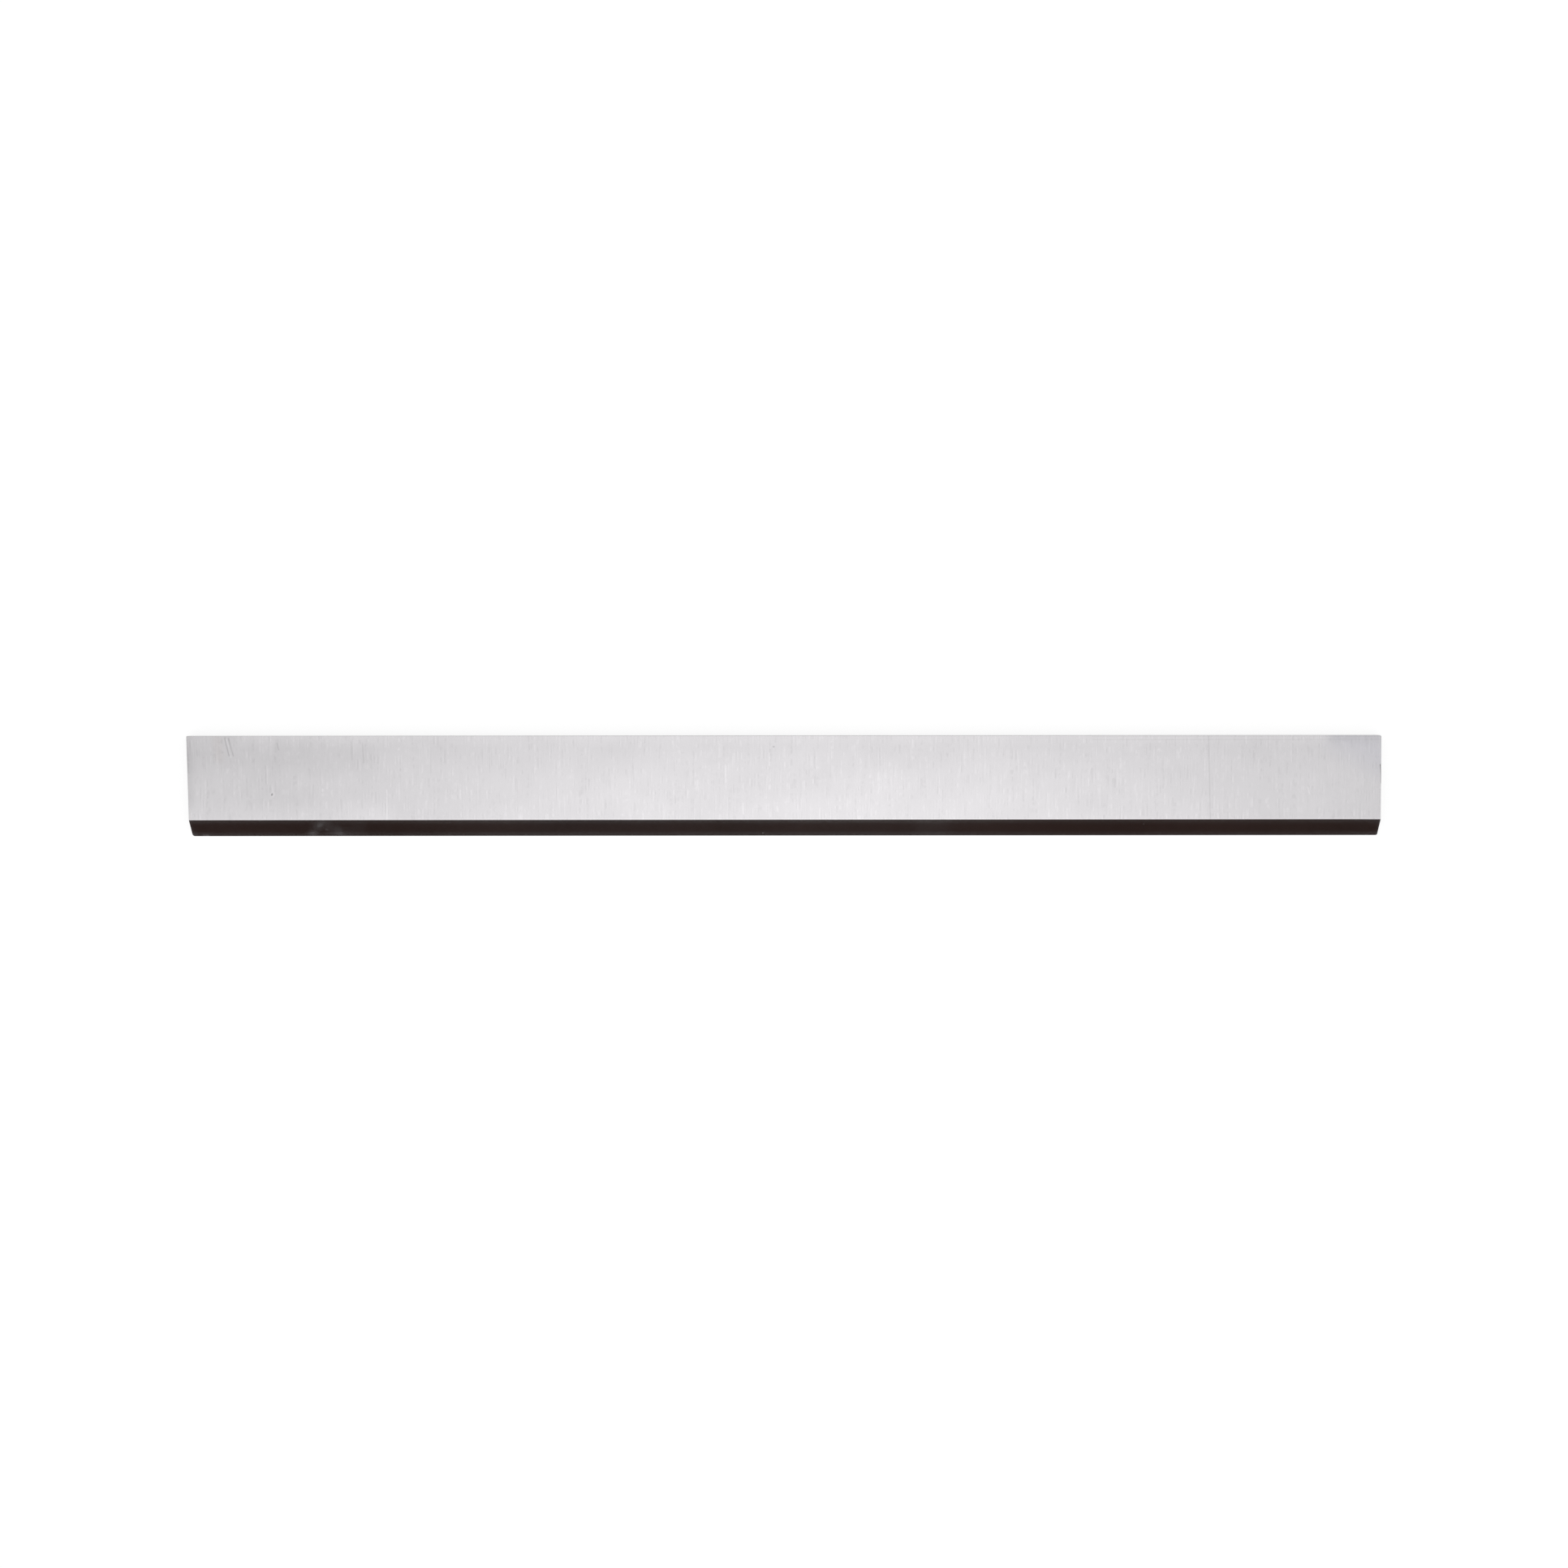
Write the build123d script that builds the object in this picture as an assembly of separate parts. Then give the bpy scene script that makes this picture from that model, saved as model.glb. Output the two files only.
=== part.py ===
from build123d import *
import math
import os

# Planer knife: one bar of high-speed steel, ground all over, with a hollow-ground bevel along one edge.
# Millimetres. X runs along the knife, Y from the cutting edge to the back edge, and Z up from the seat face.
# It lies on its seat face at Z = 0 with the bevel facing up. The origin is under the middle of its box.

# The bar
KNIFE_LENGTH = 309.6  # along the cutting edge, 12 3/16 in
KNIFE_WIDTH = 26.2  # from the cutting edge to the back edge, 1 1/32 in
KNIFE_THICKNESS = 3.175  # from the seat face to the gib face, 1/8 in

# The bevel, hollow because the rim of a wheel grinds it
BEVEL_ANGLE = 36.0  # degrees, from the seat face to the chord between cutting edge and heel
WHEEL_RADIUS = 100.0
GRINDING_STOCK = 1.5  # left in front of the cutting edge for the wheel to take off
WHEEL_OVERRUN = 5.0  # of the wheel's pass beyond each end

# The two ends, cut a little out of square: degrees by which each leans outward towards the back edge
LEFT_END_LEAN = 1.05
RIGHT_END_LEAN = -0.15

# Corners as seen from above, each with its own radius
LEFT_TIP_RADIUS = 0.6  # a tip is where the cutting edge meets an end
RIGHT_TIP_RADIUS = 0.4
LEFT_BACK_RADIUS = 0.08  # of the flat faces, inside their broken arrises
RIGHT_BACK_RADIUS = 0.38
TIP_CUTTER_MARGIN = 0.5  # how far a tip's cutter reaches outside the bar

# Arrises, broken with a stone
ARRIS_BREAK = 0.12  # around the back edge and the ends, above and below
HEEL_RADIUS = 0.1  # where the bevel meets the gib face

# A nick in the upper arris of the right end, which tapers away towards the cutting edge
NICK_LENGTH = 4.9
NICK_DEPTH = 0.3
NICK_FROM_BACK_EDGE = 7.6


def end_x(lean, y):
    """Distance of an end face from mid-length, y behind the cutting edge."""
    return KNIFE_LENGTH / 2 + y * math.tan(math.radians(lean))


def blank():
    """The flat bar before its bevel is ground, with the cutting edge to come along Y = 0."""
    front, back = -GRINDING_STOCK, KNIFE_WIDTH
    with BuildPart() as bar:
        with BuildSketch() as outline:
            Polygon(
                (-end_x(LEFT_END_LEAN, front), front),
                (end_x(RIGHT_END_LEAN, front), front),
                (end_x(RIGHT_END_LEAN, back), back),
                (-end_x(LEFT_END_LEAN, back), back),
                align=None,
            )
            fillet(outline.vertices().group_by(Axis.Y)[-1].sort_by(Axis.X)[0], LEFT_BACK_RADIUS + ARRIS_BREAK)
            fillet(outline.vertices().group_by(Axis.Y)[-1].sort_by(Axis.X)[-1], RIGHT_BACK_RADIUS + ARRIS_BREAK)
        extrude(amount=KNIFE_THICKNESS)
        for face in (bar.faces().sort_by(Axis.Z)[0], bar.faces().sort_by(Axis.Z)[-1]):
            chamfer(face.edges().sort_by(Axis.Y)[1:], ARRIS_BREAK)
    return bar.part


def wheel():
    """The grinding wheel's path at full depth: its rim passes through the cutting edge and the heel."""
    angle = math.radians(BEVEL_ANGLE)
    half_chord = KNIFE_THICKNESS / math.sin(angle) / 2
    stand_off = math.sqrt(WHEEL_RADIUS**2 - half_chord**2)
    axis_y = half_chord * math.cos(angle) - stand_off * math.sin(angle)
    axis_z = half_chord * math.sin(angle) + stand_off * math.cos(angle)
    path = Cylinder(WHEEL_RADIUS, KNIFE_LENGTH + 2 * WHEEL_OVERRUN, rotation=(0, 90, 0))
    return Pos(0, axis_y, axis_z) * path


def with_rounded_heel(bar):
    """Rounds the long edge where the hollow of the bevel runs out into the gib face."""
    hollow = bar.faces().filter_by(GeomType.CYLINDER).sort_by(SortBy.AREA)[-1]
    heel = hollow.edges().sort_by(Axis.Z)[-1]
    return bar.fillet(HEEL_RADIUS, [heel])


def tip_cutter(side, lean, radius):
    """What comes off one tip: all outside an arc that is tangent to the cutting edge and to the end face."""
    tilt = math.radians(lean)
    tip = Vector(side * end_x(lean, 0), 0)
    along_edge = Vector(-side, 0)
    along_end = Vector(side * math.sin(tilt), math.cos(tilt))
    tangent_length = radius / math.tan(along_edge.get_angle(along_end) * math.pi / 360)
    on_edge = tip + along_edge * tangent_length
    on_end = tip + along_end * tangent_length
    outward = Vector(side * math.cos(tilt), -math.sin(tilt)) * TIP_CUTTER_MARGIN
    forward = Vector(0, -TIP_CUTTER_MARGIN)
    with BuildPart() as cutter:
        with BuildSketch():
            with BuildLine():
                TangentArc(on_edge, on_end, tangent=along_edge * -1)
                Polyline(on_end, on_end + outward, tip + outward + forward, on_edge + forward, on_edge)
            make_face()
        extrude(amount=KNIFE_THICKNESS, both=True)
    return cutter.part


def nick():
    """A cone laid along the upper arris of the right end, its point towards the cutting edge."""
    middle = KNIFE_WIDTH - NICK_FROM_BACK_EDGE - NICK_LENGTH / 2
    cone = Cone(NICK_DEPTH, 0, NICK_LENGTH, rotation=(90, 0, 0))
    return Pos(end_x(RIGHT_END_LEAN, middle), middle, KNIFE_THICKNESS) * Rot(0, 0, -RIGHT_END_LEAN) * cone


def planer_knife():
    """The finished knife, moved so that the origin is under the middle of its box."""
    knife = with_rounded_heel(blank() - wheel())
    knife -= tip_cutter(-1, LEFT_END_LEAN, LEFT_TIP_RADIUS)
    knife -= tip_cutter(1, RIGHT_END_LEAN, RIGHT_TIP_RADIUS)
    knife -= nick()
    middle = knife.bounding_box().center()
    return Pos(-middle.X, -middle.Y, 0) * knife


os.makedirs("parts", exist_ok=True)
export_step(planer_knife(), "parts/planer_knife.step")
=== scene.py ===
import math

import bmesh
import bpy
from bpy.props import FloatProperty, FloatVectorProperty, PointerProperty
from mathutils import Matrix, Vector


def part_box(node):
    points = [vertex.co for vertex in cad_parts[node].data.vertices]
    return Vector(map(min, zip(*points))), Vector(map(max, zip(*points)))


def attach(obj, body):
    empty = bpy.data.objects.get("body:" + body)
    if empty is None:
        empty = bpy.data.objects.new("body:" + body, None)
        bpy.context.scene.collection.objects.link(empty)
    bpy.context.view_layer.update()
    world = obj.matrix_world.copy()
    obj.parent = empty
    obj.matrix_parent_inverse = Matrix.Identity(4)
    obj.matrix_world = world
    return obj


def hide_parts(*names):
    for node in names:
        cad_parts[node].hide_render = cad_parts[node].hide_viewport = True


bl_info = {
    "name": "Planer Knife",
    "version": (1, 0, 0),
    "blender": (4, 5, 0),
    "location": "View3D > Sidebar > Planer Knife",
    "description": "A ground steel planer knife with its hollow bevel, and a white table to show it on",
    "category": "Add Mesh",
}

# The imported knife. X runs along it, Y from the cutting edge to the back edge, Z up from the seat face.
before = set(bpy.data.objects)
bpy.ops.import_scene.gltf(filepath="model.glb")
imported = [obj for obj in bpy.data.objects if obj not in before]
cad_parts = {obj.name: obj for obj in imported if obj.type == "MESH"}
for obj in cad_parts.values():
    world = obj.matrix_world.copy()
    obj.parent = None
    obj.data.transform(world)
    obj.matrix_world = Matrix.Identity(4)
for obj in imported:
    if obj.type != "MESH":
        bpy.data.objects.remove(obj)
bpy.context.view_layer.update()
NODE = "planer_knife"
LOW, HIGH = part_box(NODE)
LENGTH, WIDTH, THICKNESS = (HIGH[i] - LOW[i] for i in range(3))

MM = 0.001
TINY = 1e-7  # metres, for telling whether a point lies on a plane
NEAR = 10 * TINY  # the same, for points that several cuts have made
STOCK = 1.5 * MM  # steel in front of the cutting edge that grinding the bevel takes off
HOLLOW_STRIPS = 12  # strips along the bevel, which together follow the wheel
CORNER_STEPS = 5  # flats round each upright corner
ARRIS_STEPS = 3  # flats across each arris and the heel
NICK_SECTIONS = 9  # lengths of the nick, each shallower than the one before
NICK_WALL_STEEPNESS = 4  # depth over run of the wall at the nick's deeper end
LEANING = 0.1  # share of a face's normal from which it leans that way
END_FACING = 0.6  # share along X from which a face belongs to an end
BROAD_FACING = 0.5  # share along Z from which any other face belongs to the upper or lower side
BEVEL_FACING = 0.998  # cosine of a turn within which the hollow's faces stay, and the heel's don't
SHARP_TURN = math.radians(50)  # edges that turn more than this stay sharp
STATION_SPACING = 10 * MM  # between the loops across the bar
STATIONS = int(LENGTH / STATION_SPACING)  # whole spaces between loops
ROW_STATIONS, COLUMN_STATIONS = 8, 16  # in one row or column of the map for baking
MAP_GAP = 1.5 * MM  # between the rows and columns of that map
TABLE_GAP = 0.02 * MM  # under the seat face, so that the knife and the table don't share a plane
UV_NAME = "lay"
BAKE_UV_NAME = "OFBake"  # the name of the map that textures are baked on
FACE, BEVEL, EDGE, NICK = range(4)  # places in the knife's list of materials


def linear(hex_colour):
    """The linear RGB of an sRGB colour written as #rrggbb."""
    parts = (int(hex_colour[i:i + 2], 16) / 255 for i in (1, 3, 5))
    return tuple(c / 12.92 if c <= 0.04045 else ((c + 0.055) / 1.055) ** 2.4 for c in parts)


def length(name, description, default):
    """A property for a size in metres."""
    return FloatProperty(name=name, description=description, default=default, unit="LENGTH", precision=5)


def angle(name, description, degrees):
    """A property for an angle, with its default in degrees."""
    return FloatProperty(name=name, description=description, default=math.radians(degrees), subtype="ANGLE")


def colour(name, description, hex_colour):
    """A property for a colour, with its default in sRGB hex."""
    return FloatVectorProperty(name=name, description=description, default=linear(hex_colour),
                               subtype="COLOR", min=0, max=1)


class KnifeSizes(bpy.types.PropertyGroup):
    edge_length: length("Edge length", "Length of the cutting edge, from tip to tip", 309.6 * MM)
    bevel_angle: angle("Bevel angle", "From the seat face to the chord of the bevel", 36)
    wheel_radius: length("Wheel radius", "Radius of the wheel that grinds the bevel hollow", 100 * MM)
    left_lean: angle("Left lean", "How far the left end leans out towards the back edge", 1.05)
    right_lean: angle("Right lean", "How far the right end leans out towards the back edge", -0.15)
    left_tip: length("Left tip", "Radius where the cutting edge meets the left end", 0.6 * MM)
    right_tip: length("Right tip", "Radius where the cutting edge meets the right end", 0.4 * MM)
    left_back: length("Left back corner", "Radius where the back edge meets the left end", 0.2 * MM)
    right_back: length("Right back corner", "Radius where the back edge meets the right end", 0.5 * MM)
    arris: length("Arris", "Width of the broken arrises", 0.12 * MM)
    heel_radius: length("Heel radius", "Rounding where the bevel meets the gib face", 0.1 * MM)
    nick_length: length("Nick length", "Length of the nick in the right end's upper arris", 4.9 * MM)
    nick_depth: length("Nick depth", "Depth of that nick at its deeper end", 0.3 * MM)
    nick_from_back: length("Nick place", "From the back edge to the deeper end of the nick", 7.6 * MM)


class SteelFinish(bpy.types.PropertyGroup):
    face: colour("Face", "Ground broad faces", "#c7c5c7")
    bevel: colour("Bevel", "Freshly ground bevel", "#b8b6b8")
    edge: colour("Edge", "Back edge and ends", "#a8a6a6")
    nick: colour("Nick", "Dark oxide in the nick", "#1f1b19")
    brown_film: colour("Brown film", "Old oil film near the scratches", "#b8a79e")
    blue_film: colour("Blue film", "Bluish film at the right end", "#a5a6b6")
    # The wheel's own lines are finer than a pixel. These are the coarser streaks that the eye sees.
    streak_spacing: length("Streak spacing", "Distance between grinding streaks", 0.4 * MM)
    streak_length: length("Streak length", "Length of a grinding streak", 1.3 * MM)
    streak_contrast: FloatProperty(name="Streak contrast", description="How much a streak shades the steel",
                                   default=0.36, min=0, max=1, subtype="FACTOR")


class StageSettings(bpy.types.PropertyGroup):
    floor_size: length("Floor size", "Side of the square table", 12)
    floor: colour("Floor", "White table", "#f4f4f4")
    card: colour("Card", "Dark felt card that the bevel reflects", "#57433d")
    card_border: colour("Card border", "Paler felt along its upper and lower borders", "#909090")
    fill: FloatProperty(name="Fill", description="Strength of the white room", default=0.92, min=0)
    softbox: FloatProperty(name="Softbox", description="Brightness of the softbox", default=0.61, min=0)
    camera_height: length("Camera height", "Lens above the table", 515.4 * MM)
    camera_left: length("Camera left", "Lens left of the knife's middle", 1.36 * MM)
    camera_back: length("Camera back", "Lens behind the knife's middle", 21.55 * MM)
    camera_tilt: angle("Camera tilt", "Towards the cutting edge", 2.35)
    camera_lean: angle("Camera lean", "Towards the left end", 0.14)
    camera_turn: angle("Camera turn", "About the vertical", 0.05)


def everything(bm):
    """All the geometry of a mesh, as the operators want it."""
    return bm.verts[:] + bm.edges[:] + bm.faces[:]


def cut_off(bm, point, outward):
    """Removes what lies outside a plane and closes the cut."""
    cut = bmesh.ops.bisect_plane(bm, geom=everything(bm), dist=TINY, plane_co=point, plane_no=outward,
                                 clear_outer=True)
    rim = [part for part in cut["geom_cut"] if isinstance(part, bmesh.types.BMEdge)]
    bmesh.ops.holes_fill(bm, edges=rim, sides=0)


def split(bm, faces, point, normal):
    """Cuts some faces along a plane and removes nothing."""
    edges = {edge for face in faces for edge in face.edges}
    verts = {vert for face in faces for vert in face.verts}
    geom = [*verts, *edges, *faces]
    bmesh.ops.bisect_plane(bm, geom=geom, dist=TINY, plane_co=point, plane_no=normal)


def round_corner(bm, corner, first, last, radius):
    """Cuts an upright corner, between faces with those outward normals, to short flats along an arc."""
    centre = corner - (first + last) * radius / (1 + first.dot(last))
    arc = [centre + first.slerp(last, i / CORNER_STEPS) * radius for i in range(CORNER_STEPS + 1)]
    for start, end in zip(arc, arc[1:]):
        cut_off(bm, start, (start + end - 2 * centre).normalized())


def ease(bm, edges, offset):
    """Breaks edges to a rounding of a few flats that starts at that distance from them."""
    bmesh.ops.bevel(bm, geom=edges, offset=offset, offset_type="OFFSET", segments=ARRIS_STEPS,
                    profile=0.5, affect="EDGES", material=-1, clamp_overlap=False)


def ends(sizes):
    """For the left and the right end: the point where it meets the cutting edge, and its outward normal."""
    half = sizes.edge_length / 2
    left = Vector((-math.cos(sizes.left_lean), -math.sin(sizes.left_lean), 0))
    right = Vector((math.cos(sizes.right_lean), -math.sin(sizes.right_lean), 0))
    return (Vector((-half, LOW.y, LOW.z)), left), (Vector((half, LOW.y, LOW.z)), right)


def back_corner(tip, normal):
    """Where the line of an end meets the back edge."""
    along = Vector((-normal.y, normal.x, 0)) * math.copysign(1, normal.x)
    return tip + along * (WIDTH / along.y)


def bevel_directions(sizes):
    """Up the bevel's chord from the cutting edge, and outward from the chord."""
    slant = sizes.bevel_angle
    return Vector((0, math.cos(slant), math.sin(slant))), Vector((0, -math.sin(slant), math.cos(slant)))


def cut_blank(bm, sizes):
    """The flat bar: a block cut to its two ends, with eased back corners and broken arrises."""
    front = LOW.y - STOCK
    middle = Vector((0, (front + HIGH.y) / 2, THICKNESS / 2))
    size = Vector((2 * LENGTH, HIGH.y - front, THICKNESS, 1))
    bmesh.ops.create_cube(bm, size=1, matrix=Matrix.Translation(middle) @ Matrix.Diagonal(size))
    back = Vector((0, 1, 0))
    for (tip, normal), radius in zip(ends(sizes), (sizes.left_back, sizes.right_back)):
        cut_off(bm, tip, normal)
        round_corner(bm, back_corner(tip, normal), normal, back, radius)
    rims = [edge for edge in bm.edges
            if abs(edge.verts[0].co.z - edge.verts[1].co.z) < TINY
            and max(vert.co.y for vert in edge.verts) > front + TINY]
    ease(bm, rims, sizes.arris)


def end_arris(bm, normal):
    """The faces of the upper arris along the end with that outward normal."""
    return [face for face in bm.faces
            if min(face.normal.z, face.normal.dot(normal)) > LEANING > abs(face.normal.y)]


def cut_nick(bm, sizes):
    """Hollows a stretch of the right end's upper arris, deepest towards the back, where it stops short."""
    tip, normal = ends(sizes)[1]
    corner = tip + Vector((0, 0, THICKNESS))
    deepest = HIGH.y - sizes.nick_from_back
    wall = deepest + sizes.nick_depth / NICK_WALL_STEEPNESS
    sections = [deepest - sizes.nick_length * i / NICK_SECTIONS for i in range(NICK_SECTIONS + 1)]
    for y in (wall, *sections):
        split(bm, end_arris(bm, normal), Vector((0, y, 0)), Vector((0, 1, 0)))
    hollow = [face for face in end_arris(bm, normal) if sections[-1] < face.calc_center_median().y < wall]
    for face in hollow:
        face.material_index = NICK
    for vert in {vert for face in hollow for vert in face.verts}:
        run_out = max(0, 1 - (deepest - vert.co.y) / sizes.nick_length)
        depth = 0 if vert.co.y > deepest + TINY else sizes.nick_depth * run_out
        inward = (corner - vert.co).dot(normal)
        down = corner.z - vert.co.z
        turn = math.atan2(sizes.arris - down, sizes.arris - inward)
        reach = max(depth, sizes.arris)
        deeper = normal * (reach * math.sin(turn) - inward) + Vector((0, 0, reach * math.cos(turn) - down))
        vert.co -= deeper * min(1, depth / sizes.arris)


def grind_bevel(bm, sizes):
    """Takes off the front corner along the bevel's chord, then presses the flat into the wheel's hollow."""
    up_slope, outward = bevel_directions(sizes)
    edge = Vector((0, LOW.y, LOW.z))
    chord = THICKNESS / math.sin(sizes.bevel_angle)
    cut_off(bm, edge, outward)
    for i in range(1, HOLLOW_STRIPS):
        bm.normal_update()
        strips = [face for face in bm.faces if face.normal.dot(outward) > 1 - TINY]
        split(bm, strips, edge + up_slope * chord * i / HOLLOW_STRIPS, up_slope)
    radius = sizes.wheel_radius
    flat = math.sqrt(radius ** 2 - (chord / 2) ** 2)
    for vert in bm.verts:
        along = (vert.co - edge).dot(up_slope)
        if abs((vert.co - edge).dot(outward)) < NEAR and 0 < along < chord:
            vert.co -= outward * (math.sqrt(radius ** 2 - (along - chord / 2) ** 2) - flat)


def round_heel(bm, sizes):
    """Rounds the long edge between the bevel and the gib face."""
    heel_y = LOW.y + THICKNESS / math.tan(sizes.bevel_angle)
    heel = [edge for edge in bm.edges
            if all(abs(vert.co.z - THICKNESS) < NEAR for vert in edge.verts)
            and all(abs(vert.co.y - heel_y) < NEAR for vert in edge.verts)]
    ease(bm, heel, sizes.heel_radius * math.tan(sizes.bevel_angle / 2))


def round_tips(bm, sizes):
    """Rounds the two tips of the cutting edge, as seen from above."""
    front = Vector((0, -1, 0))
    for (tip, normal), radius in zip(ends(sizes), (sizes.left_tip, sizes.right_tip)):
        round_corner(bm, tip, front, normal, radius)


def add_stations(bm):
    """Loops across the bar at even spacing, so that no face runs its whole length."""
    for i in range(STATIONS + 1):
        x = (i - STATIONS / 2) * STATION_SPACING
        split(bm, bm.faces[:], Vector((x, 0, 0)), Vector((1, 0, 0)))


def side_of(face):
    """The side of the knife that a face belongs to: end, edge, upper or lower."""
    if abs(face.normal.x) > END_FACING:
        return "end"
    if abs(face.normal.z) < BROAD_FACING:
        return "edge"
    return "upper" if face.normal.z > 0 else "lower"


def sort_surfaces(bm, sizes):
    """Gives each face its material, and a map whose first axis runs across the grinding lines."""
    outward = bevel_directions(sizes)[1]
    lay = bm.loops.layers.uv.new(UV_NAME)
    for face in bm.faces:
        face.smooth = True
        side = side_of(face)
        if face.material_index != NICK:
            on_bevel = face.normal.dot(outward) > BEVEL_FACING
            face.material_index = BEVEL if on_bevel else EDGE if side in ("end", "edge") else FACE
        for loop in face.loops:
            x, y, z = loop.vert.co
            loop[lay].uv = (z, y) if side == "end" else (z, x) if side == "edge" else (x, y)
    for edge in bm.edges:
        if len(edge.link_faces) == 2 and edge.calc_face_angle() > SHARP_TURN:
            edge.smooth = False


def lay_out_bake(bm):
    """Lays out the map for baking: lengths of the broad sides in rows, and beside them two columns with the
    narrow side and the ends. Its first axis runs across the grinding lines too."""
    bake = bm.loops.layers.uv.new(BAKE_UV_NAME)
    first = Vector((-STATIONS / 2 * STATION_SPACING, LOW.y, LOW.z))
    row_length, column_length = ROW_STATIONS * STATION_SPACING, COLUMN_STATIONS * STATION_SPACING
    rows = math.ceil(STATIONS / ROW_STATIONS)
    sheet = row_length + 2 * (THICKNESS + MAP_GAP) + MAP_GAP, 2 * rows * (WIDTH + MAP_GAP)
    for face in bm.faces:
        side = side_of(face)
        station = int((face.calc_center_median().x - first.x) / STATION_SPACING)
        station = min(max(station, 0), STATIONS - 1)
        row, column = station // ROW_STATIONS, station // COLUMN_STATIONS
        for loop in face.loops:
            x, y, z = loop.vert.co - first
            if side in ("upper", "lower"):
                place = x - row * row_length, y + (row + rows * (side == "lower")) * (WIDTH + MAP_GAP)
            else:
                column = int(face.normal.x > 0) if side == "end" else column
                along = y + column_length + MAP_GAP if side == "end" else x - column * column_length
                place = row_length + MAP_GAP + z + column * (THICKNESS + MAP_GAP), along
            loop[bake].uv = [(part + MAP_GAP / 2) / whole for part, whole in zip(place, sheet)]


def corners(part):
    """The numbers of an edge's or a face's vertices, in order."""
    return sorted(vert.index for vert in part.verts)


def fix_order(bm):
    """Sorts the mesh by place, because the operators leave its parts in a new order on every run."""
    for parts, key in ((bm.verts, lambda vert: vert.co[:]), (bm.edges, corners), (bm.faces, corners)):
        rank = {part: i for i, part in enumerate(sorted(parts, key=key))}
        parts.sort(key=rank.get)
        parts.index_update()


def knife_mesh(sizes):
    """The mesh of the whole knife, with the middle of its box over the origin."""
    bm = bmesh.new()
    cut_blank(bm, sizes)
    bm.normal_update()
    cut_nick(bm, sizes)
    grind_bevel(bm, sizes)
    round_heel(bm, sizes)
    round_tips(bm, sizes)
    add_stations(bm)
    bmesh.ops.remove_doubles(bm, verts=bm.verts, dist=TINY)
    bmesh.ops.recalc_face_normals(bm, faces=bm.faces)
    bm.normal_update()
    sort_surfaces(bm, sizes)
    lay_out_bake(bm)
    middle = (min(vert.co.x for vert in bm.verts) + max(vert.co.x for vert in bm.verts)) / 2
    bmesh.ops.translate(bm, verts=bm.verts, vec=Vector((-middle, 0, 0)))
    fix_order(bm)
    mesh = bpy.data.meshes.new("ground_bar")
    bm.to_mesh(mesh)
    bm.free()
    return mesh


def add_node(tree, kind, inputs=None, **settings):
    """Adds a node with its settings. An input takes a value, a socket, or a node for its first output."""
    node = tree.nodes.new(kind)
    for name, value in settings.items():
        setattr(node, name, value)
    for socket, value in (inputs or {}).items():
        source = value.outputs[0] if isinstance(value, bpy.types.Node) else value
        if isinstance(source, bpy.types.NodeSocket):
            tree.links.new(source, node.inputs[socket])
        else:
            node.inputs[socket].default_value = source
    return node


def new_material(name):
    """A material that has no nodes yet, and its node tree."""
    material = bpy.data.materials.new(name)
    material.use_nodes = True
    material.node_tree.nodes.clear()
    return material, material.node_tree


def millimetres(tree):
    """Object coordinates in millimetres."""
    place = add_node(tree, "ShaderNodeTexCoord").outputs["Object"]
    return add_node(tree, "ShaderNodeVectorMath", {0: place, 1: (1 / MM,) * 3}, operation="MULTIPLY")


def streaks(tree, place, spacing, detail=2.0):
    """Noise drawn out along each axis by that many millimetres, from about 0 to 1."""
    per_millimetre = tuple(1 / size for size in spacing)
    stretched = add_node(tree, "ShaderNodeVectorMath", {0: place, 1: per_millimetre}, operation="MULTIPLY")
    return add_node(tree, "ShaderNodeTexNoise", {"Vector": stretched, "Scale": 1.0, "Detail": detail})


def short_streaks(tree, place, spacing, run):
    """Straight streaks along Y that come and go every so often, from about 0 to 1."""
    line_run, patch_width = 5 * run, 3 * spacing
    gone, full = 0.44, 0.6  # values of the patches' noise where the streaks are gone and at their full
    lines = streaks(tree, place, (spacing, line_run, line_run))
    patches = streaks(tree, place, (patch_width, run, run), detail=1.0)
    patches = add_node(tree, "ShaderNodeMapRange", {"Value": patches, "From Min": gone, "From Max": full})
    return add_node(tree, "ShaderNodeMix", {"Factor": patches, 2: 0.5, 3: lines}, data_type="FLOAT")


def varied(tree, amount, noise, base):
    """base + amount * (noise - 0.5)."""
    centred = add_node(tree, "ShaderNodeMath", {0: noise, 1: 0.5}, operation="SUBTRACT")
    return add_node(tree, "ShaderNodeMath", {0: centred, 1: amount, 2: base}, operation="MULTIPLY_ADD")


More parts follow.
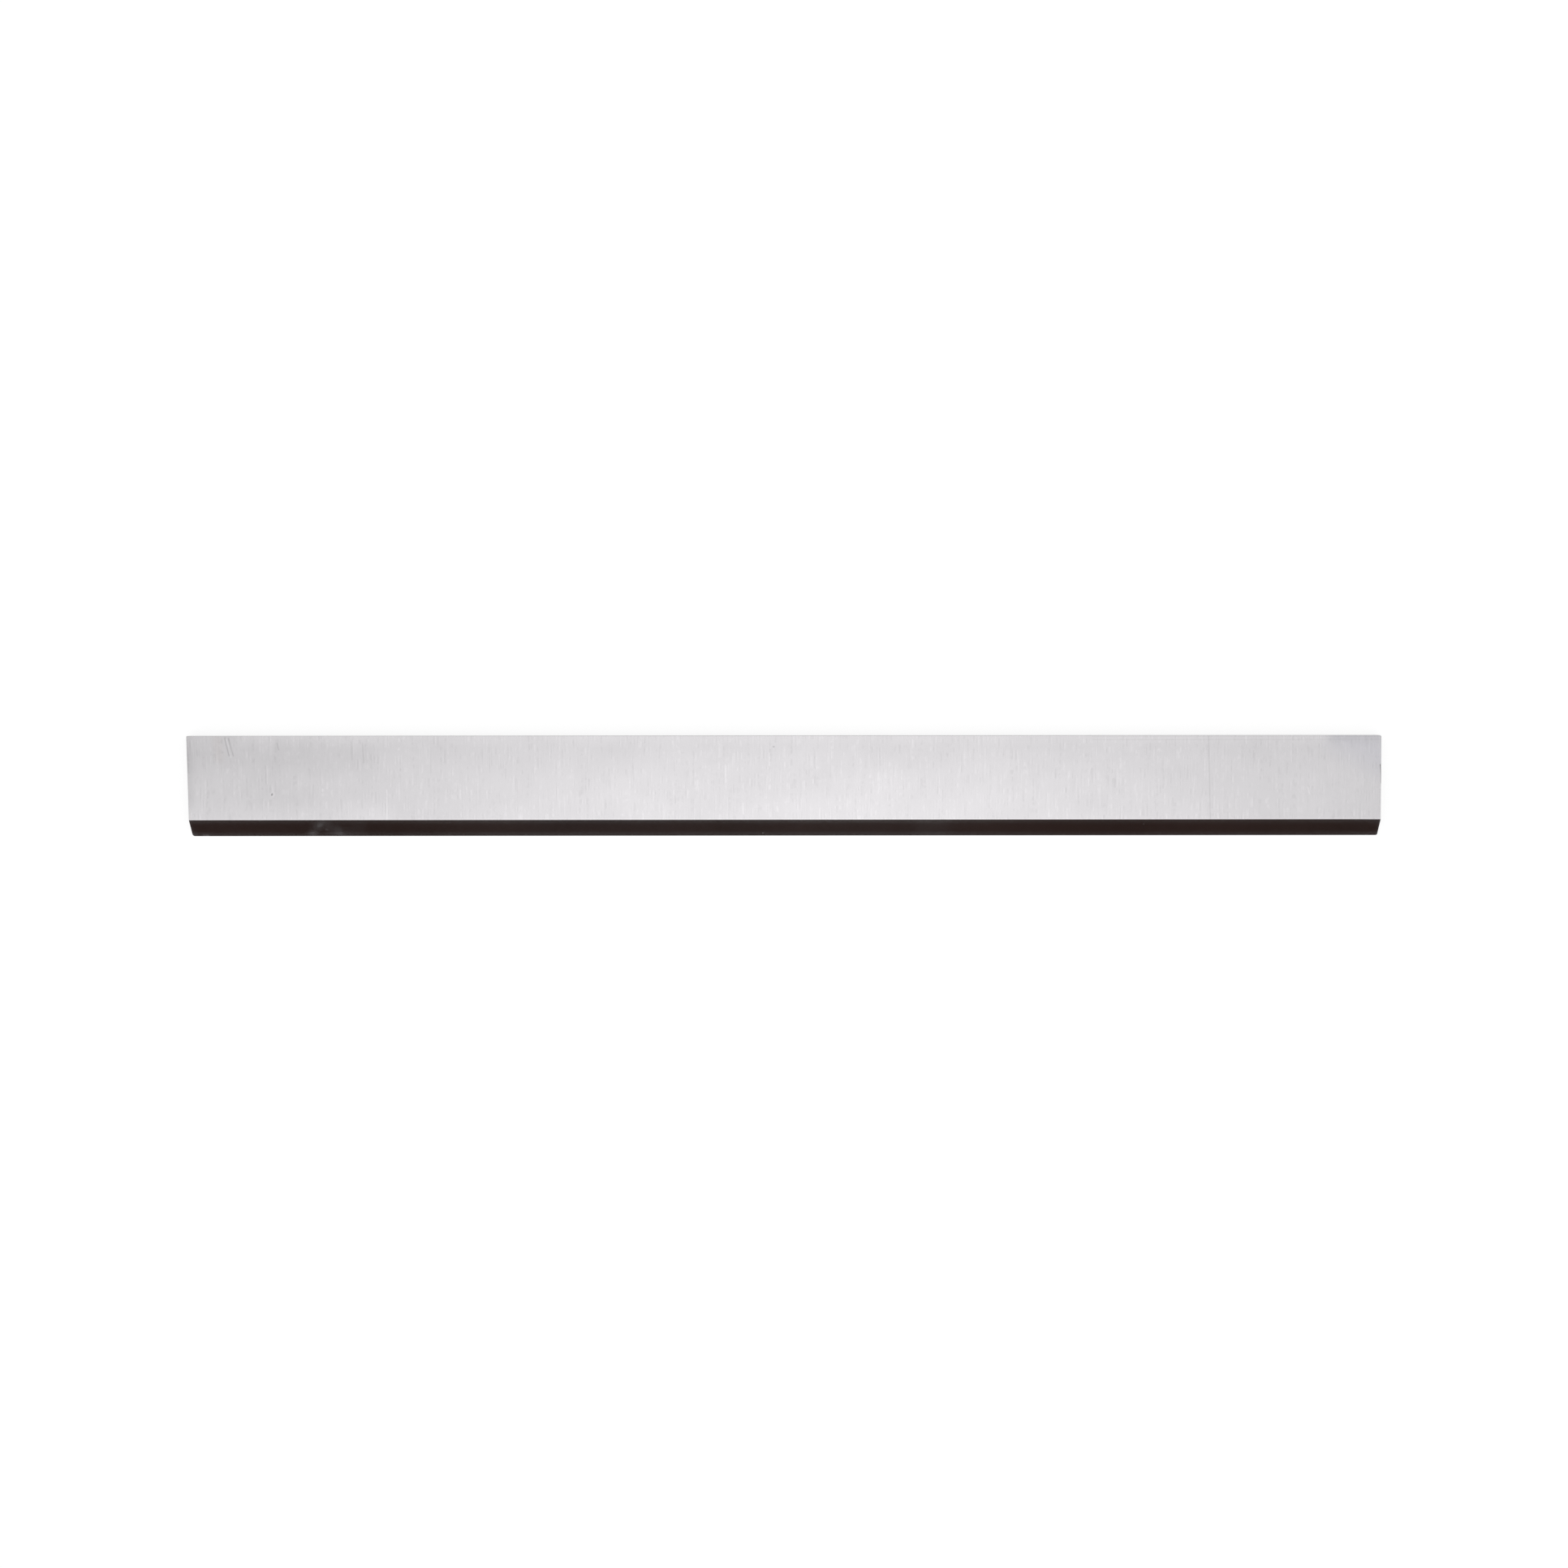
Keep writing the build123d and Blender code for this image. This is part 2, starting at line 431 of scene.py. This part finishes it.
def scratch_group():
    """A node group that masks a straight scratch, film or painted band: 1 along its middle and 0 beyond its
    width.
    """
    group = bpy.data.node_groups.new("scratch", "ShaderNodeTree")
    for name in ("Place", "From", "To"):
        group.interface.new_socket(name, in_out="INPUT", socket_type="NodeSocketVector")
    group.interface.new_socket("Width", in_out="INPUT", socket_type="NodeSocketFloat")
    group.interface.new_socket("Mask", in_out="OUTPUT", socket_type="NodeSocketFloat")
    given = add_node(group, "NodeGroupInput").outputs
    start, end = given["From"], given["To"]
    flat = add_node(group, "ShaderNodeVectorMath", {0: given["Place"], 1: (1, 1, 0)}, operation="MULTIPLY")
    reach = add_node(group, "ShaderNodeVectorMath", {0: flat, 1: start}, operation="SUBTRACT")
    line = add_node(group, "ShaderNodeVectorMath", {0: end, 1: start}, operation="SUBTRACT")
    along = add_node(group, "ShaderNodeVectorMath", {0: reach, 1: line}, operation="DOT_PRODUCT")
    whole = add_node(group, "ShaderNodeVectorMath", {0: line, 1: line}, operation="DOT_PRODUCT")
    share = add_node(group, "ShaderNodeMath", {0: along.outputs["Value"], 1: whole.outputs["Value"]},
                     operation="DIVIDE", use_clamp=True)
    foot = add_node(group, "ShaderNodeVectorMath", {0: line, "Scale": share}, operation="SCALE")
    away = add_node(group, "ShaderNodeVectorMath", {0: reach, 1: foot}, operation="DISTANCE")
    mask = add_node(group, "ShaderNodeMapRange",
                    {"Value": away.outputs["Value"], "From Min": 0.0, "From Max": given["Width"],
                     "To Min": 1.0, "To Max": 0.0}, interpolation_type="SMOOTHSTEP")
    add_node(group, "NodeGroupOutput", {"Mask": mask})
    return group


def marks(tree, group, place, listed, total=0.0):
    """Adds up straight marks, each given as (strength, half width, start, end), in millimetres on the
    knife.
    """
    for strength, width, start, end in listed:
        line = {"From": (*start, 0), "To": (*end, 0)}
        mask = add_node(tree, "ShaderNodeGroup", {"Place": place, **line, "Width": width}, node_tree=group)
        total = add_node(tree, "ShaderNodeMath", {0: mask, 1: strength, 2: total}, operation="MULTIPLY_ADD")
    return total


# Marks and painted light on the gib face: strength (darker below 0), and half width, start and end in
# millimetres
FACE_MARKS_AND_PAINTED_LIGHT = (
    # Two slanted scratches near the left end, and the burr between them
    (-0.18, 0.35, (-145.1, 12.6), (-144.0, 8.0)),
    (0.08, 0.3, (-144.6, 12.2), (-143.5, 7.5)),
    (-0.16, 0.35, (-144.1, 12.4), (-142.9, 8.0)),
    # Short scratches along the grinding lines
    (-0.13, 0.3, (-131.5, 11.1), (-131.1, 9.5)),
    (-0.08, 0.25, (-134.6, 5.4), (-134.5, 0.7)),
    (0.08, 0.25, (-134.2, 5.4), (-134.1, 0.7)),
    (-0.08, 0.35, (-112.3, 11.6), (-112.1, 7.0)),
    (-0.09, 0.3, (-109.4, 11.2), (-109.1, 6.1)),
    (-0.1, 0.3, (110.1, 13.0), (110.7, -8.6)),
    (0.1, 0.3, (-15.3, 5.4), (-15.2, 1.0)),
    (0.1, 0.3, (-3.9, 8.6), (-3.9, 5.4)),
    (0.1, 0.3, (-10.8, -4.5), (-10.7, -7.2)),
    (0.1, 0.3, (136.0, -0.4), (136.4, -2.1)),
    (0.12, 0.25, (-103.2, -0.9), (-103.2, -8.5)),
    # A pit with a raised rim, a speck, and a dark stretch of the right end's arris
    (0.12, 0.9, (-132.8, -2.1), (-132.7, -2.1)),
    (-0.6, 0.4, (-133.0, -2.2), (-132.9, -2.0)),
    (-0.25, 0.35, (-2.9, 10.2), (-2.7, 10.2)),
    (-0.6, 0.3, (155.1, 8.8), (155.1, 5.6)),
    # Lines along the back edge, and a painted highlight along the heel
    (-0.05, 0.25, (80, 12.8), (155, 12.8)),
    (-0.08, 0.2, (80, 12.0), (155, 12.0)),
    (0.1, 0.35, (-155, -8.6), (155, -8.6)),
    # Painted highlight along the back edge and by the heel at the left end, with painted shade between them
    (0.05, 3.5, (-140, 13), (140, 13)),
    (0.07, 7.0, (-157, -9), (-105, -9)),
    (-0.05, 7.0, (-157, 7), (-110, 7)),
    # Darker towards the two ends
    (-0.2, 5.0, (-157, 14), (-157, -4)),
    (-0.15, 6.0, (144, 15), (157, 15)),
)
# For the films, the strength is the share that their colour takes
BROWN_FILM = ((0.1, 2.2, (-147.1, 12.5), (-146.6, 7.5)),)
BLUE_FILM = ((0.2, 9.0, (146, 13), (155, 8)),)

# Dull marks on the bevel, given in the same way: the strength is how much rougher they are
BEVEL_MARKS = (
    # A grey smudge and its spots
    (0.1, 2.2, (-123.2, -12.3), (-121.8, -10.8)),
    (0.1, 2.4, (-120.2, -10.1), (-116.6, -11.4)),
    (0.06, 3.2, (-115.0, -12.2), (-110.5, -11.0)),
    (0.03, 0.7, (-123.4, -12.2), (-122.4, -12.1)),
    (0.05, 0.6, (-121.2, -10.3), (-120.3, -9.9)),
    (0.09, 0.5, (-119.4, -11.4), (-119.2, -11.4)),
    (0.03, 0.7, (-119.8, -12.4), (-115.6, -12.4)),
    # A duller middle with a blotch
    (0.06, 60, (-60, -11), (20, -11)),
    (0.04, 5.0, (36.5, -11), (40.5, -11)),
    # Two chips at the cutting edge, and a speck
    (0.12, 0.35, (-5.6, -12.4), (-5.5, -12.4)),
    (0.12, 0.4, (-151.7, -12.9), (-150.4, -12.9)),
    (0.2, 0.25, (93.5, -10.0), (93.6, -10.0)),
    # The rims along the heel and the cutting edge, and the two ends
    (0.07, 1.2, (-155, -9.1), (155, -9.1)),
    (0.07, 1.0, (-155, -12.6), (155, -12.6)),
    (0.05, 2.0, (-155.5, -9), (-154.5, -13)),
    (0.08, 1.5, (155.5, -9), (155.5, -13)),
)


def ground_steel(finish, group):
    """High-speed steel, surface ground: a satin grey with fine streaks across the knife, which draw every
    reflection out along its length."""
    material, tree = new_material("surface_ground_high_speed_steel")
    roughness, roughness_spread, anisotropy = 0.25, 0.08, 0.8
    broad_contrast, cloud_contrast = finish.streak_contrast / 7, finish.streak_contrast / 3
    cloud_size = (16, 10, 10)  # millimetres
    relief = 0.001 * MM
    place = millimetres(tree)
    spacing, run = finish.streak_spacing / MM, finish.streak_length / MM
    fine = short_streaks(tree, place, spacing, run)
    broad = streaks(tree, place, (4 * spacing, 4 * run, run))
    cloud = streaks(tree, place, cloud_size)
    height = add_node(tree, "ShaderNodeSeparateXYZ", {0: place}).outputs[2]
    upper = add_node(tree, "ShaderNodeMath", {0: height, 1: THICKNESS / MM / 2}, operation="GREATER_THAN")
    # Scratches and specks, with bands of painted highlight and painted shade, added to the gib face's shade
    mark_sum = marks(tree, group, place, FACE_MARKS_AND_PAINTED_LIGHT)
    mark_sum = add_node(tree, "ShaderNodeMath", {0: mark_sum, 1: upper}, operation="MULTIPLY")
    shade = varied(tree, finish.streak_contrast, fine, 1.0)
    shade = varied(tree, broad_contrast, broad, shade)
    shade = varied(tree, cloud_contrast, cloud, shade)
    shade = add_node(tree, "ShaderNodeMath", {0: shade, 1: mark_sum}, operation="ADD")
    steel = add_node(tree, "ShaderNodeVectorMath", {0: finish.face[:], "Scale": shade}, operation="SCALE")
    for film, listed in ((finish.brown_film, BROWN_FILM), (finish.blue_film, BLUE_FILM)):
        mask = marks(tree, group, place, listed)
        mask = add_node(tree, "ShaderNodeMath", {0: mask, 1: upper}, operation="MULTIPLY")
        steel = add_node(tree, "ShaderNodeMix", {"Factor": mask, 6: steel, 7: (*film, 1)}, data_type="RGBA")
        steel = steel.outputs[2]
    rough = varied(tree, roughness_spread, broad, roughness)
    bump = add_node(tree, "ShaderNodeBump", {"Height": fine, "Distance": relief, "Strength": 1.0})
    tangent = add_node(tree, "ShaderNodeTangent", direction_type="UV_MAP", uv_map=UV_NAME)
    shader = add_node(tree, "ShaderNodeBsdfPrincipled",
                      {"Base Color": steel, "Metallic": 1.0, "Roughness": rough, "Anisotropic": anisotropy,
                       "Tangent": tangent, "Normal": bump})
    add_node(tree, "ShaderNodeOutputMaterial", {"Surface": shader})
    return material


def bevel_steel(finish, group):
    """The same steel off a finer wheel: nearly a mirror, with faint lines that run up the bevel."""
    material, tree = new_material("hollow_ground_high_speed_steel")
    roughness, wear_roughness, anisotropy = 0.12, 0.8, 0.6
    fine_contrast, cloud_contrast = finish.streak_contrast / 3, 1.5 * finish.streak_contrast
    cloud_size = (40, 12, 12)  # millimetres
    place = millimetres(tree)
    spacing, run = finish.streak_spacing / MM, finish.streak_length / MM
    fine = streaks(tree, place, (4 * spacing, 4 * run, 4 * run))
    cloud = streaks(tree, place, cloud_size)
    mark_sum = marks(tree, group, place, BEVEL_MARKS)
    shade = varied(tree, fine_contrast, fine, 1.0)
    shade = varied(tree, cloud_contrast, cloud, shade)
    steel = add_node(tree, "ShaderNodeVectorMath", {0: finish.bevel[:], "Scale": shade}, operation="SCALE")
    rough = add_node(tree, "ShaderNodeMath", {0: mark_sum, 1: wear_roughness, 2: roughness},
                     operation="MULTIPLY_ADD", use_clamp=True)
    tangent = add_node(tree, "ShaderNodeTangent", direction_type="UV_MAP", uv_map=UV_NAME)
    shader = add_node(tree, "ShaderNodeBsdfPrincipled",
                      {"Base Color": steel, "Metallic": 1.0, "Roughness": rough, "Anisotropic": anisotropy,
                       "Tangent": tangent})
    add_node(tree, "ShaderNodeOutputMaterial", {"Surface": shader})
    return material


def edge_steel(finish):
    """Steel cut off and edge ground with a coarse wheel: duller, with lines along each narrow side."""
    material, tree = new_material("edge_ground_high_speed_steel")
    roughness, roughness_spread, anisotropy = 0.36, 0.15, 0.6
    line_contrast, cloud_contrast = 0.4, 0.15
    line_size, cloud_size = (8, 3, 0.15), (25, 8, 8)  # millimetres
    relief = 0.01 * MM
    place = millimetres(tree)
    lines = streaks(tree, place, line_size)
    cloud = streaks(tree, place, cloud_size)
    shade = varied(tree, line_contrast, lines, 1.0)
    shade = varied(tree, cloud_contrast, cloud, shade)
    steel = add_node(tree, "ShaderNodeVectorMath", {0: finish.edge[:], "Scale": shade}, operation="SCALE")
    rough = varied(tree, roughness_spread, lines, roughness)
    bump = add_node(tree, "ShaderNodeBump", {"Height": lines, "Distance": relief, "Strength": 1.0})
    tangent = add_node(tree, "ShaderNodeTangent", direction_type="UV_MAP", uv_map=UV_NAME)
    shader = add_node(tree, "ShaderNodeBsdfPrincipled",
                      {"Base Color": steel, "Metallic": 1.0, "Roughness": rough, "Anisotropic": anisotropy,
                       "Tangent": tangent, "Normal": bump})
    add_node(tree, "ShaderNodeOutputMaterial", {"Surface": shader})
    return material


def nick_oxide(finish):
    """Dark oxide and grime held in the nick: rough, and nearly black."""
    material, tree = new_material("oxidised_high_speed_steel")
    metallic, roughness = 0.3, 0.7
    shader = add_node(tree, "ShaderNodeBsdfPrincipled",
                      {"Base Color": (*finish.nick, 1), "Metallic": metallic, "Roughness": roughness})
    add_node(tree, "ShaderNodeOutputMaterial", {"Surface": shader})
    return material


def shown(tree):
    """1 for rays that show the backdrop: from the camera, in a reflection or through glass."""
    rays = add_node(tree, "ShaderNodeLightPath").outputs
    seen = add_node(tree, "ShaderNodeMath", {0: rays["Is Camera Ray"], 1: rays["Is Glossy Ray"]},
                    operation="MAXIMUM")
    return add_node(tree, "ShaderNodeMath", {0: seen, 1: rays["Is Transmission Ray"]}, operation="MAXIMUM")


def table_paint(stage):
    """Matt white table paint, topped up to pure white for the eye, which keeps the knife's soft shadow."""
    material, tree = new_material("matt_white_table_paint")
    paint_share, glow_share = 0.28, 0.78  # of the floor's colour, and of pure white
    paint = add_node(tree, "ShaderNodeBsdfDiffuse", {"Color": (*(paint_share * c for c in stage.floor), 1)})
    glow = add_node(tree, "ShaderNodeMath", {0: shown(tree), 1: glow_share}, operation="MULTIPLY")
    light = add_node(tree, "ShaderNodeEmission", {"Color": (1, 1, 1, 1), "Strength": glow})
    both = add_node(tree, "ShaderNodeAddShader", {0: paint, 1: light})
    add_node(tree, "ShaderNodeOutputMaterial", {"Surface": both})
    return material


def card_felt(stage, middle):
    """Brown-black felt on the card that stands beyond the cutting edge, fading to grey above and below."""
    material, tree = new_material("brown_black_felt")
    dark_reach, grey_from = 0.05, 0.3  # metres above and below the middle
    place = add_node(tree, "ShaderNodeTexCoord").outputs["Object"]
    height = add_node(tree, "ShaderNodeSeparateXYZ", {0: place}).outputs[2]
    away = add_node(tree, "ShaderNodeMath", {0: height, 1: middle}, operation="SUBTRACT")
    away = add_node(tree, "ShaderNodeMath", {0: away}, operation="ABSOLUTE")
    fade = add_node(tree, "ShaderNodeMapRange",
                    {"Value": away, "From Min": dark_reach, "From Max": grey_from},
                    interpolation_type="SMOOTHSTEP")
    shade = add_node(tree, "ShaderNodeMix",
                     {"Factor": fade, 6: (*stage.card, 1), 7: (*stage.card_border, 1)}, data_type="RGBA")
    felt = add_node(tree, "ShaderNodeBsdfDiffuse", {"Color": shade.outputs[2], "Roughness": 1.0})
    add_node(tree, "ShaderNodeOutputMaterial", {"Surface": felt})
    return material


def add_sheet(name, width, height, material, placed):
    """A flat rectangle, marked as stage, with its place in its mesh."""
    bm = bmesh.new()
    matrix = placed @ Matrix.Diagonal((width, height, 1, 1))
    bmesh.ops.create_grid(bm, x_segments=1, y_segments=1, size=0.5, matrix=matrix)
    mesh = bpy.data.meshes.new(name)
    bm.to_mesh(mesh)
    bm.free()
    sheet = bpy.data.objects.new(name, mesh)
    sheet.data.materials.append(material)
    bpy.context.scene.collection.objects.link(sheet)
    return sheet


def add_card(stage):
    """A dark card in front of the cutting edge, which shows only in the knife's reflections of it."""
    distance, width, low, high = 1.5, 1.9, 0.02, 0.95  # metres
    darkest = 0.385  # metres above the table, where the bevel's middle reflects it
    stand = Matrix.Translation((0, -distance, (low + high) / 2)) @ Matrix.Rotation(math.pi / 2, 4, "X")
    card = add_sheet("front_card", width, high - low, card_felt(stage, darkest), stand)
    card.visible_camera = False
    card.visible_diffuse = False
    card.visible_transmission = False
    card.visible_shadow = False


def add_softbox(stage):
    """A softbox overhead and in front of the cutting edge, which lifts the middle of the gib face."""
    width, depth = 0.56, 0.62  # metres
    aside, in_front, above = 0.03, 0.3, 1.0  # metres from the knife's middle
    lamp = bpy.data.lights.new("softbox", "AREA")
    lamp.shape = "RECTANGLE"
    lamp.size = width
    lamp.size_y = depth
    lamp.energy = stage.softbox * math.pi * width * depth
    box = bpy.data.objects.new("softbox", lamp)
    box.location = (aside, -in_front, above)
    box.rotation_euler = (-math.atan2(in_front, above), 0, 0)
    bpy.context.scene.collection.objects.link(box)


def light_room(stage):
    """A white room all round."""
    world = bpy.data.worlds.new("white_room")
    world.use_nodes = True
    tree = world.node_tree
    tree.nodes.clear()
    strength = add_node(tree, "ShaderNodeMath", {0: shown(tree), 1: 1 - stage.fill, 2: stage.fill},
                        operation="MULTIPLY_ADD")
    room = add_node(tree, "ShaderNodeBackground", {"Color": (1, 1, 1, 1), "Strength": strength})
    add_node(tree, "ShaderNodeOutputWorld", {"Surface": room})
    bpy.context.scene.world = world


def add_camera(stage):
    """The camera over the back edge, looking down with a slight tilt."""
    focal_length, sensor_width = 45.34, 36  # millimetres
    nearest = 10 * MM
    lens = bpy.data.cameras.new("camera")
    lens.lens = focal_length
    lens.sensor_width = sensor_width
    lens.clip_start = nearest
    camera = bpy.data.objects.new("camera", lens)
    place = Matrix.Translation((-stage.camera_left, stage.camera_back, stage.camera_height))
    tilt = Matrix.Rotation(-stage.camera_tilt, 4, "X") @ Matrix.Rotation(-stage.camera_lean, 4, "Y")
    camera.matrix_world = Matrix.Rotation(-stage.camera_turn, 4, "Z") @ place @ tilt
    bpy.context.scene.collection.objects.link(camera)
    bpy.context.scene.camera = camera


class PLANER_OT_knife(bpy.types.Operator):
    """Add the ground steel planer knife"""

    bl_idname = "planer.knife"
    bl_label = "Knife"

    def execute(self, context):
        finish = context.scene.planer_finish
        mesh = knife_mesh(context.scene.planer_sizes)
        group = scratch_group()
        mesh.materials.append(ground_steel(finish, group))
        mesh.materials.append(bevel_steel(finish, group))
        mesh.materials.append(edge_steel(finish))
        mesh.materials.append(nick_oxide(finish))
        knife = bpy.data.objects.new("ground_bar", mesh)
        context.scene.collection.objects.link(knife)
        even = knife.modifiers.new("flat faces keep flat shading", "WEIGHTED_NORMAL")
        even.keep_sharp = True
        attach(knife, "root")
        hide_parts(NODE)
        return {"FINISHED"}


class PLANER_OT_stage(bpy.types.Operator):
    """Add the white table, the lights, the dark card and the camera"""

    bl_idname = "planer.stage"
    bl_label = "Stage"

    def execute(self, context):
        stage = context.scene.planer_stage
        size = stage.floor_size
        add_sheet("table", size, size, table_paint(stage), Matrix.Translation((0, 0, LOW.z - TABLE_GAP)))
        add_card(stage)
        add_softbox(stage)
        light_room(stage)
        add_camera(stage)
        context.scene.view_settings.view_transform = "Standard"
        return {"FINISHED"}


class PLANER_PT_panel(bpy.types.Panel):
    """The knife's sizes, finish and stage"""

    bl_idname = "PLANER_PT_panel"
    bl_label = "Planer Knife"
    bl_space_type = "VIEW_3D"
    bl_region_type = "UI"
    bl_category = "Planer Knife"

    def draw(self, context):
        for group in (context.scene.planer_sizes, context.scene.planer_finish, context.scene.planer_stage):
            box = self.layout.box()
            for name in group.__annotations__:
                box.prop(group, name)
        self.layout.operator(PLANER_OT_knife.bl_idname)
        self.layout.operator(PLANER_OT_stage.bl_idname)


CLASSES = (KnifeSizes, SteelFinish, StageSettings, PLANER_OT_knife, PLANER_OT_stage, PLANER_PT_panel)


def register():
    """Registers the classes, and puts their settings on the scene."""
    for cls in CLASSES:
        bpy.utils.register_class(cls)
    bpy.types.Scene.planer_sizes = PointerProperty(type=KnifeSizes)
    bpy.types.Scene.planer_finish = PointerProperty(type=SteelFinish)
    bpy.types.Scene.planer_stage = PointerProperty(type=StageSettings)


def unregister():
    """Takes the settings and the classes away again."""
    del bpy.types.Scene.planer_stage
    del bpy.types.Scene.planer_finish
    del bpy.types.Scene.planer_sizes
    for cls in reversed(CLASSES):
        bpy.utils.unregister_class(cls)


def main():
    register()
    bpy.ops.planer.knife()
    bpy.ops.planer.stage()


if __name__ == "__main__":
    main()
